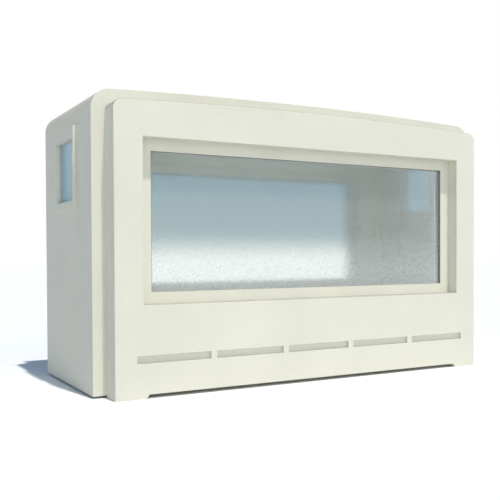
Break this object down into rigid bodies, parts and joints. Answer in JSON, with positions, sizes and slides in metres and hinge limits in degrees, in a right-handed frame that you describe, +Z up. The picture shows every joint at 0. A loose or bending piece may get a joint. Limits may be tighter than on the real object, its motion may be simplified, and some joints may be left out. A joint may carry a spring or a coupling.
{
  "type": "security guard booth",
  "caption": "Long off-white guard booth: rounded hollow body between thick front and rear panels with a wide window in each, a row of slots below and a small window in each end",
  "frame": {"origin": "on the ground under the middle of the booth", "axes": "+X runs along the booth's length to the right as seen from the front, the front panel faces -Y, +Z is up"},
  "size_m": [4.338, 1.92, 2.6338],
  "materials": {
    "shell": "fine grained off-white moulded skin",
    "deck": "plain grey sheet",
    "glazing": "clear, faintly blue",
    "seal": "matt dark grey",
    "bead": "satin grey",
    "hardware": "brushed"
  },
  "bodies": {
    "root": {"door_frame": "shell", "door_hinge_bottom": "hardware", "door_hinge_middle": "hardware", "door_hinge_top": "hardware", "door_leaf": "shell", "door_lock": "hardware", "door_pull_inner": "hardware", "door_pull_outer": "hardware", "door_threshold": "hardware", "floor_deck": "deck", "floor_slab": "shell", "front_glazing_bead": "bead", "front_inner_glass": "glazing", "front_panel": "shell", "front_wall": "shell", "front_window_frame": "shell", "front_window_glass": "glazing", "front_window_seal": "seal", "left_wall": "shell", "left_window_glass": "glazing", "left_window_seal": "seal", "left_window_surround": "shell", "rear_glazing_bead": "bead", "rear_inner_glass": "glazing", "rear_panel": "shell", "rear_wall": "shell", "rear_window_frame": "shell", "rear_window_glass": "glazing", "rear_window_seal": "seal", "right_wall": "shell", "right_window_glass": "glazing", "right_window_seal": "seal", "right_window_surround": "shell", "roof": "shell"}
  },
  "joints": []
}
